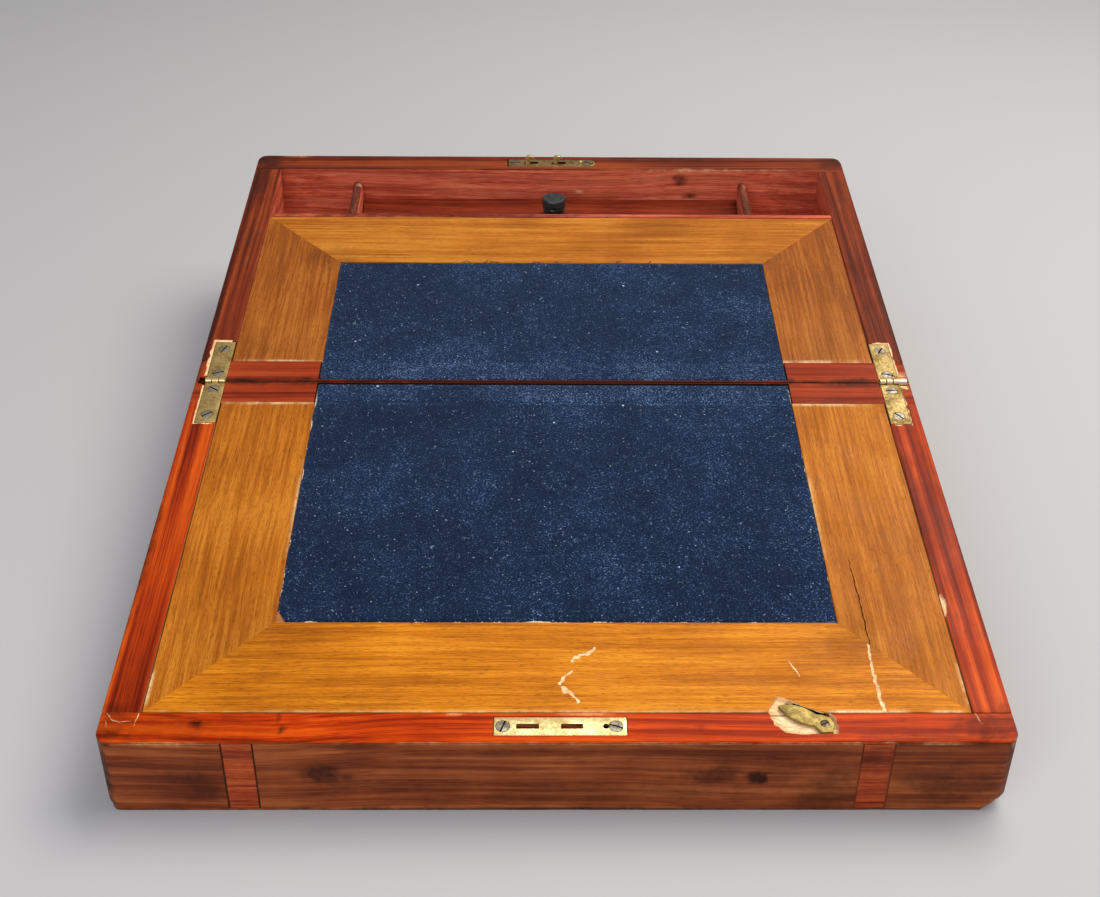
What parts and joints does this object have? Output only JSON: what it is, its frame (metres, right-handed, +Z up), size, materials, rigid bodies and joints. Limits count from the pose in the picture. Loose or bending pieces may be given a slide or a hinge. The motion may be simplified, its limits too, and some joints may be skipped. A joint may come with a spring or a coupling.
{
  "type": "folding writing slope",
  "caption": "Antique wooden writing slope box laid open: two hinged halves form a sloped velvet writing surface, with flaps over storage wells and a pen and ink trough.",
  "frame": {"origin": "on the table, in the middle of the open slope, straight under the line where the two halves hinge", "axes": "+X to the writer's right, +Y away from the writer from the low lid half to the high base half, +Z up"},
  "size_m": [0.35, 0.44, 0.094],
  "materials": {
    "rim": "French-polished mahogany",
    "walnut": "French-polished walnut veneer",
    "flap": "satin-polished mahogany veneer",
    "trough": "stained mahogany",
    "plain_wood": "unpolished softwood",
    "band": "polished inlaid banding",
    "velvet": "worn cotton velvet",
    "brass": "aged brass",
    "steel": "dull steel",
    "iron": "black iron",
    "glass": "dark ink-stained glass",
    "stopper": "black hard rubber"
  },
  "bodies": {
    "base": {"base_bottom": "plain_wood", "base_back_wall": "walnut", "base_hinge_wall": "rim", "base_left_wall": "rim", "base_right_wall": "rim", "base_back_band_left": "band", "base_back_band_right": "band", "trough_partition": "trough", "trough_floor": "trough", "trough_divider_left": "trough", "trough_divider_right": "trough", "tray_cleat_left": "plain_wood", "tray_cleat_right": "plain_wood", "base_ledge_left": "plain_wood", "base_ledge_right": "plain_wood", "base_velvet_strip": "velvet", "lock_plate": "brass", "lock_case": "iron", "lock_screw_left": "steel", "lock_screw_right": "steel", "keyhole_escutcheon": "brass", "hinge_leaf_base_left": "brass", "hinge_screw_base_left_inner": "steel", "hinge_screw_base_left_outer": "steel", "hinge_pin_left": "brass", "hinge_leaf_base_right": "brass", "hinge_screw_base_right_inner": "steel", "hinge_screw_base_right_outer": "steel", "hinge_pin_right": "brass"},
    "lid": {"lid_top_board": "walnut", "lid_front_wall": "walnut", "lid_hinge_wall": "rim", "lid_left_wall": "rim", "lid_right_wall": "rim", "lid_front_band_left": "band", "lid_front_band_right": "band", "lid_top_band_left": "band", "lid_top_band_right": "band", "lid_ledge_left": "plain_wood", "lid_ledge_right": "plain_wood", "lid_velvet_strip": "velvet", "strike_plate": "brass", "strike_screw_left": "steel", "strike_screw_right": "steel", "latch_screw": "steel", "hinge_leaf_lid_left": "brass", "hinge_screw_lid_left_inner": "steel", "hinge_screw_lid_left_outer": "steel", "hinge_leaf_lid_right": "brass", "hinge_screw_lid_right_inner": "steel", "hinge_screw_lid_right_outer": "steel"},
    "base_flap": {"base_flap": "flap", "base_flap_velvet": "velvet"},
    "lid_flap": {"lid_flap": "flap", "lid_flap_velvet": "velvet"},
    "latch": {"flap_latch": "brass"},
    "lock_bolt": {"lock_hook_bolt": "brass"},
    "pen_tray": {"pen_tray": "trough"},
    "ink_bottle": {"ink_bottle": "glass"},
    "ink_stopper": {"ink_stopper": "stopper"}
  },
  "joints": [
    {"name": "lid_hinge", "type": "hinge", "parent": "base", "child": "lid", "pos_m": [0, 0, 0.0635], "axis": [-1, 0, 0], "range_deg": [0, 180]},
    {"name": "base_flap_hinge", "type": "hinge", "parent": "base", "child": "base_flap", "pos_m": [0, 0.01619, 0.06515], "axis": [-1, 0, 0], "range_deg": [-95, 0]},
    {"name": "lid_flap_hinge", "type": "hinge", "parent": "lid", "child": "lid_flap", "pos_m": [0, -0.01611, 0.06126], "axis": [1, 0, 0], "range_deg": [-95, 0]},
    {"name": "latch_turn", "type": "hinge", "parent": "lid", "child": "latch", "pos_m": [0.102, -0.21106, 0.03773], "axis": [0, 0.1196, -0.9928], "range_deg": [-26.7, 0]},
    {"name": "lock_bolt_slide", "type": "slide", "parent": "base", "child": "lock_bolt", "axis": [1, 0, 0], "range_m": [0, 0.004]},
    {"name": "pen_tray_lift", "type": "slide", "parent": "base", "child": "pen_tray", "axis": [0, 0, -1], "range_m": [-0.045, 0]},
    {"name": "ink_bottle_lift", "type": "slide", "parent": "base", "child": "ink_bottle", "axis": [0, 0, -1], "range_m": [-0.06, 0]},
    {"name": "ink_stopper_pull", "type": "slide", "parent": "ink_bottle", "child": "ink_stopper", "axis": [0, 0, -1], "range_m": [-0.015, 0]}
  ]
}
